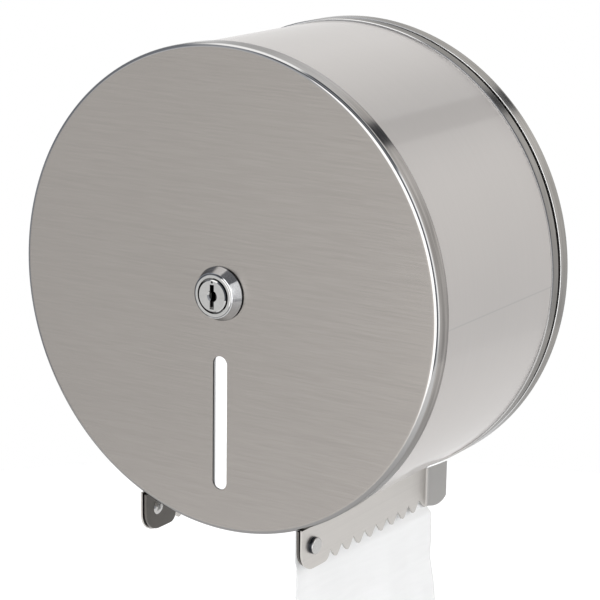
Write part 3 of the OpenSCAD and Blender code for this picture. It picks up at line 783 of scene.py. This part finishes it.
# %% [markdown]
# ## The paper roll
# A roll is one long sheet, so its ends are not flat: some layers stand a hair proud of others,
# and the outermost corner is soft. A lathe shape shows this best. A profile of many small
# steps is drawn once and spun round the roll's axis, and the CAD solid is hidden behind it.

# %% The edges of the layers
LAYERS, FRONT_SHIFT = 44, 7
END_IN, SLOW_WAVE, QUICK_WAVE = 0.30, (0.22, 5.1), (0.12, 37.0)


def layer_edge(k):
    """How far in from the roll's end layer k lies, in mm: a slow wave and a quick one."""
    (slow, waves), (quick, jump) = SLOW_WAVE, QUICK_WAVE
    return END_IN + slow * math.sin(waves * k / LAYERS * math.pi) + quick * math.sin(jump * k)


print("layer edges from", round(min(map(layer_edge, range(LAYERS))), 2), "to",
      round(max(map(layer_edge, range(LAYERS))), 2), "mm in")

# %% The roll's profile
ROLL_R = span("paper_roll", "x")[1]
ROLL_BACK, ROLL_FRONT = depths("paper_roll")
ROLL_Z = round(sum(span("paper_roll", "z")) / 2, 1)
CORE_CLEAR, LAST_LAYER_IN = 0.05, 1.2
CORE_R = span("roll_core", "x")[1] + CORE_CLEAR
SOFT_CORNER = [(0.35, 0.9), (0.0, 2.0)]


def roll_profile():
    """Points (radius, depth) round the roll's cross-section, in mm."""
    radii = [CORE_R + (ROLL_R - LAST_LAYER_IN - CORE_R) * k / LAYERS for k in range(LAYERS + 1)]
    back = [(r, ROLL_BACK + layer_edge(k)) for k, r in enumerate(radii)]
    back_corner = [(ROLL_R - inset, ROLL_BACK + way) for inset, way in SOFT_CORNER]
    front_corner = [(ROLL_R - inset, ROLL_FRONT - way) for inset, way in SOFT_CORNER]
    front = [(r, ROLL_FRONT - layer_edge(k + FRONT_SHIFT)) for k, r in enumerate(radii)]
    return back + back_corner + front_corner[::-1] + front[::-1]


print(f"roll: radius {ROLL_R}, from {ROLL_BACK} to {ROLL_FRONT} mm, axis at {ROLL_Z} mm")

# %% Spinning the roll
SPIN_STEPS, LAYERS_SHARP_FROM = 144, 60.0


def lathe(points, name, height, sharp_from):
    """Spins a closed profile of (radius, depth) in mm round the axis through the height."""
    bm = bmesh.new()
    verts = [bm.verts.new((r * MM, -d * MM, height * MM)) for r, d in points]
    edges = [bm.edges.new((a, b)) for a, b in zip(verts, verts[1:] + verts[:1])]
    bmesh.ops.spin(bm, geom=verts + edges, cent=(0, 0, height * MM), axis=(0, 1, 0),
                   angle=math.tau, steps=SPIN_STEPS, use_merge=True)
    return finish_mesh(bm, name, sharp_from)


roll = lathe(roll_profile(), "tissue_roll", ROLL_Z, LAYERS_SHARP_FROM)
roll.data.materials.append(tissue("roll_tissue", ROLL_CREPE))
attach(roll, "roll")
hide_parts("paper_roll")

# %% [markdown]
# ## The way of the hanging end
# The loose end leaves the roll on the right, passes between the blades and hangs below them.
# It touches the roll where a straight line from the exit just grazes it, which is a tangent,
# so one angle says where. The front edge of the sheet leans in more than the edge by the wall.

# %% The route of the hanging end
EXIT_X, EXIT_LEAN, EXIT_Z = 45.0, 10.3, -101.0
BLADE_LOW = span("right_tear_blade", "z")[0]
PAPER_DROP, SWING_BELOW = 63.0, 0.5
SWING = [(0, 0), (0.05, 3), (0.25, 3.6), (0.42, 3.2), (0.63, 6), (0.82, 7.6), (1, 8.2)]
FRONT_SWING = 0.25
ROLL_CLEAR = 1.2


def leave_point(x, z, radius):
    """Where a straight line from (x, z) touches the roll on its right side."""
    across, up = x, z - ROLL_Z
    turn = math.atan2(up, across) + math.acos(radius / math.hypot(across, up))
    return radius * math.cos(turn), ROLL_Z + radius * math.sin(turn)


def route(lean):
    """The sheet's edge as points (x, z) in mm: lean 0 by the wall and 1 by the face."""
    x, z = EXIT_X - lean * EXIT_LEAN, EXIT_Z
    low = BLADE_LOW - SWING_BELOW
    swing = 1 + (FRONT_SWING - 1) * lean
    return [leave_point(x, z, ROLL_R + ROLL_CLEAR), (x, z)] + [
        (x + out * swing, low - drop * (PAPER_DROP - SWING_BELOW)) for drop, out in SWING]


print("by the wall the sheet leaves the roll at", [round(v, 1) for v in route(0)[0]], "mm")

# %% The size of the hanging end
def length(points):
    return sum(math.dist(a, b) for a, b in zip(points, points[1:]))


def along(points, share):
    """The point at a share of the way along a route."""
    left = share * length(points)
    for a, b in zip(points, points[1:]):
        step = math.dist(a, b)
        if left <= step:
            t = left / step
            return a[0] + (b[0] - a[0]) * t, a[1] + (b[1] - a[1]) * t
        left -= step
    return points[-1]


PAPER_W = ROLL_FRONT - ROLL_BACK
PAPER_L = (length(route(0)) + length(route(1))) / 2
print(f"hanging end: {PAPER_W:.0f} x {PAPER_L:.1f} mm")

# %% [markdown]
# ## Folds in the hanging end
# Tissue that has been torn off many times keeps soft folds that run down the sheet, deeper
# towards the free end. Three waves of different pitch are added across the sheet, and they
# drift as they go down, so that no fold is a straight ruled line. The free end is torn, so it
# is a little ragged.

# %% Folds and the torn end
FOLDS = [(47.0, 0.95, 0.4), (26.0, 0.42, 2.1), (13.5, 0.14, 4.0)]
FOLD_FROM, FOLD_DRIFT, FOLD_GROWTH, FOLD_GAIN = 0.42, 2.2, 1.3, 1.6
TORN_FROM, TORN_WAVES = 0.96, [(0.5, 0.9), (0.3, 2.3)]


def fold(depth, down):
    """How far the sheet stands out at a depth from the wall and a way down, in mm."""
    free = max(0.0, (down - FOLD_FROM) / (1 - FOLD_FROM))
    total = sum(size * math.sin(math.tau * depth / pitch + start + FOLD_DRIFT * down)
                for pitch, size, start in FOLDS)
    return total * free ** FOLD_GROWTH * FOLD_GAIN


def torn(depth, down):
    """How far the free end is raised or lowered at a depth from the wall, in mm."""
    ragged = sum(size * math.sin(depth * waves) for size, waves in TORN_WAVES)
    return ragged * max(0.0, down - TORN_FROM) / (1 - TORN_FROM)


print("the deepest fold stands out", round(max(fold(d, 1.0) for d in range(105)), 1), "mm")

# %% [markdown]
# ## The sheet itself
# A grid is bent along the same route as its CAD solid, the folds and the torn end are added,
# and a thin wall is given by a Solidify modifier. It hangs straight by its own weight, so a
# cloth simulation would add time and nothing to see.

# %% Bending the sheet
ROWS, COLUMNS = 110, 90
PAPER_T = 0.25


def hanging_end():
    bm = bmesh.new()
    bmesh.ops.create_grid(bm, x_segments=COLUMNS, y_segments=ROWS, size=0.5)
    for vert in bm.verts:
        lean, down = vert.co.x + 0.5, 0.5 - vert.co.y
        depth = ROLL_BACK + PAPER_W * lean
        (x0, z0), (x1, z1) = along(route(0), down), along(route(1), down)
        x, z = x0 + (x1 - x0) * lean, z0 + (z1 - z0) * lean
        vert.co = Vector((x + fold(depth, down), -depth, z + torn(depth, down))) * MM
    piece = finish_mesh(bm, "hanging_tissue")
    wall = piece.modifiers.new("sheet", "SOLIDIFY")
    wall.thickness, wall.offset = PAPER_T * MM, 0.0
    return piece


tail = hanging_end()
tail.data.materials.append(tissue("sheet_tissue", SHEET_CREPE))
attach(tail, "base")
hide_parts("paper_tail")
PAPER_W * MM

# %% [markdown]
# ## The camera
# The view is from the right and a little above, from about a metre away, so the disc of the
# face is a gentle ellipse and the drum shows behind it. A long lens keeps the two rims close
# to the same size. The camera is placed by angles round the middle of the face.

# %% Camera
AZIMUTH, ELEVATION, ROLL_TURN = map(math.radians, (33.0993, 14.479, 0.8011))
DISTANCE, SIDEWAYS, UPWARDS = 1.0194, 0.0366, -0.0025
LENS = 133.4

back = Vector((math.sin(AZIMUTH) * math.cos(ELEVATION),
               -math.cos(AZIMUTH) * math.cos(ELEVATION), math.sin(ELEVATION)))
right = Vector((math.cos(AZIMUTH), math.sin(AZIMUTH), 0.0))
up = back.cross(right)
camera = bpy.data.objects.new("camera", bpy.data.cameras.new("camera"))
camera.data.lens = LENS
camera.location = Vector((0, FACE_Y, 0)) + back * DISTANCE + right * SIDEWAYS + up * UPWARDS
camera.rotation_mode = "QUATERNION"
tilt = Quaternion((0, 0, 1), ROLL_TURN)
camera.rotation_quaternion = (-back).to_track_quat("-Z", "Y") @ tilt
bpy.context.scene.collection.objects.link(camera)
bpy.context.scene.camera = camera
print("camera at", [round(v, 3) for v in camera.location])

# %% [markdown]
# ## The cloths of the studio
# Metal has no colour of its own to speak of: it shows the room. A product studio for steel is
# therefore a tent of white cloth with dark gaps, and here the world plays the tent. A cloth
# that hangs all round the housing has a different light at each turn, which is a list of
# degrees and light. The drum and the rims mirror the cloth behind the object, and a dark post
# in front of that cloth breaks the light on the rims.

# %% Cloth round the housing
BACK_CLOTH = [(-180, 1.18), (-150, 0.90), (-100, 0.80), (-60, 0.86), (-20, 0.95), (5, 1.00),
              (28, 1.11), (45, 1.24), (60, 1.23), (85, 1.13), (97, 1.13), (108, 1.25),
              (133, 1.28), (150, 1.08), (172, 1.08), (180, 1.12)]
SIDE_CLOTH = [(-180, 0.40), (-60, 0.80), (-22, 1.20), (-14, 2.00), (42, 2.00), (46, 0.04),
              (92, 0.04), (97, 2.00), (126, 2.00), (138, 0.35), (180, 0.35)]
BRIGHTEST = 2.0


def cloth_round(sky, turn, tones):
    """A ring of cloth: its light against the turn round the housing's axis."""
    stops = [(degrees / 360 + 0.5, light / BRIGHTEST) for degrees, light in tones]
    return sky.add("ValToRGB", {0: turn / math.tau + 0.5}, stops=stops) * BRIGHTEST


print("back cloth:", len(BACK_CLOTH), "tones, side cloth:", len(SIDE_CLOTH))

# %% The post before the back cloth
POST_TURN, POST_CORE, POST_EDGE = math.radians(72.0), 0.10, 0.155
POST_FROM, POST_TO, POST_DARK = (0.68, 0.74), (0.88, 0.93), 0.92


def back_cloth(sky, y, turn):
    post = sky.band(turn, POST_TURN, POST_CORE, POST_EDGE)
    post = post * sky.step(y, *POST_FROM) * (1 - sky.step(y, *POST_TO))
    return cloth_round(sky, turn, BACK_CLOTH) * (1 - post * POST_DARK)


print("post at", round(math.degrees(POST_TURN)), "degrees")

# %% [markdown]
# ## In front of the object
# The face mirrors the cloth in front of it, which is darker at its top and at its far left. To
# the right of that cloth stands a white panel. Numbers here are parts of a direction: x is its
# share to the right, z its share upwards, and y goes from -1, straight out into the room, to
# 1, straight back through the wall.

# %% Front cloth and white panel
FRONT_CLOTH, FRONT_MIDDLE, FRONT_SLOPE = 0.98, -0.53, 0.2
TOP_EDGE, TOP_LOSS = (0.00, 0.30), 0.35
LEFT_EDGE, LEFT_LOSS = (-0.76, -0.84), 0.6
WHITE_PANEL, PANEL_EDGE, PANEL_LEAN = 2.6, (-0.345, -0.320), 0.2


def front_cloth(sky, x, z):
    top, left = sky.step(z, *TOP_EDGE) * TOP_LOSS, sky.step(x, *LEFT_EDGE) * LEFT_LOSS
    cloth = (FRONT_CLOTH - (x - FRONT_MIDDLE) * FRONT_SLOPE) * ((1 - top) * (1 - left))
    panel = sky.step(x - z * PANEL_LEAN, *PANEL_EDGE)
    return sky.between(panel, cloth, WHITE_PANEL)


print("front cloth", FRONT_CLOTH, "and white panel", WHITE_PANEL)

# %% [markdown]
# ## The tent, from front to back
# The rounded corner of the front pan looks everywhere from straight ahead to the side, so it
# draws the whole tent as crisp lines: the front cloth with its white panel, a dark gap, a
# middle cloth, the side cloth and the back cloth. They are laid over each other in that order,
# each one from its own y on. Dim cloth is a little bluer than bright cloth. Only reflections
# and light see the tent; the camera itself sees plain white behind the object.

# %% The tent
GAP_FROM, GAP_SHIFT, GAP_SHIFT_AT = (-0.66, -0.63), 0.125, (-0.50, -0.38)
DARK_GAP, LEFT_GAP, LEFT_GAP_TO = 0.13, 0.40, (-0.50, -0.30)
MIDDLE_CLOTH, MIDDLE_END = 0.55, (math.radians(94), math.radians(98))
MIDDLE_FROM, SIDE_FROM, BACK_FROM = (-0.50, -0.42), (-0.16, -0.12), (0.36, 0.46)
CLOTH_TINT = (0.86, 0.94, 1.12)


def tent_light(sky):
    """The light that comes from each direction, and nothing else."""
    way = sky.add("TexCoord", output="Generated")
    x, y, z = (sky.add("SeparateXYZ", {0: way}, output=k) for k in range(3))
    turn = z.math("ARCTAN2", x)
    side = cloth_round(sky, turn, SIDE_CLOTH)
    gap = sky.between(sky.step(x, *LEFT_GAP_TO), LEFT_GAP, DARK_GAP)
    middle = sky.between(sky.step(turn, *MIDDLE_END), MIDDLE_CLOTH, side)

    gap_y = y + sky.step(x, *GAP_SHIFT_AT) * GAP_SHIFT
    light = sky.between(sky.step(gap_y, *GAP_FROM), front_cloth(sky, x, z), gap)
    for cloth, begins in [(middle, MIDDLE_FROM), (side, SIDE_FROM),
                          (back_cloth(sky, y, turn), BACK_FROM)]:
        light = sky.between(sky.step(y, *begins), light, cloth)
    return light


def tent():
    world = bpy.data.worlds.new("studio")
    bpy.context.scene.world = world
    world.use_nodes = True
    world.node_tree.nodes.clear()
    sky = Finish(world.node_tree)
    light = tent_light(sky)
    tint = sky.blend(light.math("MINIMUM", 1.0), CLOTH_TINT, 1.0)
    cloth = sky.add("Background", {"Color": tint, "Strength": light})
    plain = sky.add("Background", {"Color": grey(1.0), "Strength": 1.0})
    seen = sky.add("LightPath", output="Is Camera Ray")
    sky.add("OutputWorld", {"Surface": sky.add("MixShader", {0: seen, 1: cloth, 2: plain})})
    print("tent:", len(world.node_tree.nodes), "nodes")


tent()
bpy.context.scene.view_settings.view_transform = "Standard"

# %% [markdown]
# ## Lamps
# Two soft lamps lift the matt parts, the paper and the opal strip. They are kept out of the
# reflections, so that the metal shows the tent alone.

# %% Lamps
def softbox(name, place, size, power):
    lamp = bpy.data.objects.new(name, bpy.data.lights.new(name, "AREA"))
    lamp.data.shape, lamp.data.size, lamp.data.energy = "DISK", size, power
    lamp.location, lamp.visible_glossy = Vector(place), False
    lamp.rotation_mode = "QUATERNION"
    lamp.rotation_quaternion = (Vector((0, FACE_Y, 0)) - lamp.location).to_track_quat("-Z", "Y")
    bpy.context.scene.collection.objects.link(lamp)
    print(f"{name}: {power} W at", place)


softbox("key", (-0.85, -1.15, 1.25), size=0.9, power=7.0)
softbox("fill", (1.5, -0.55, 0.45), size=0.8, power=3.5)

# %% [markdown]
# ## The floor
# The floor is pale and lies well below the object, which hangs on a wall. It gives off a little
# light of its own to the camera and to reflections, so it is white and still takes a shadow.

# %% Floor
FLOOR_Z, FLOOR_R, FLOOR_STEPS = -0.45, 1.0, 96
FLOOR_TONE, FLOOR_SPREAD, FLOOR_DULL = (0.45, 0.45, 0.45), 0.04, 0.9
FLOOR_GLOW, SPECKLES = 0.66, (30.0, 30.0, 30.0)


def floor_paint():
    paint = Surface("floor_paint", Metallic=0.0)
    colour = paint.around(FLOOR_TONE, paint.noise(SPECKLES), FLOOR_SPREAD)
    paint.finish(colour, FLOOR_DULL)
    rays = [paint.add("LightPath", output=f"Is {ray} Ray")
            for ray in ("Camera", "Glossy", "Transmission")]
    seen = sum(rays).math("MINIMUM", 1.0)
    glow = paint.add("Emission", {"Color": grey(1.0), "Strength": seen * FLOOR_GLOW})
    both = paint.add("AddShader", {0: Value(paint, paint.shader.outputs[0]), 1: glow})
    paint.link(both, paint.tree.nodes["Material Output"].inputs["Surface"])
    return paint.material


def pale_floor():
    bm = bmesh.new()
    bmesh.ops.create_circle(bm, cap_ends=True, segments=FLOOR_STEPS, radius=FLOOR_R)
    bmesh.ops.translate(bm, vec=(0, 0, FLOOR_Z), verts=bm.verts)
    floor = finish_mesh(bm, "floor")
    floor.data.materials.append(floor_paint())


pale_floor()
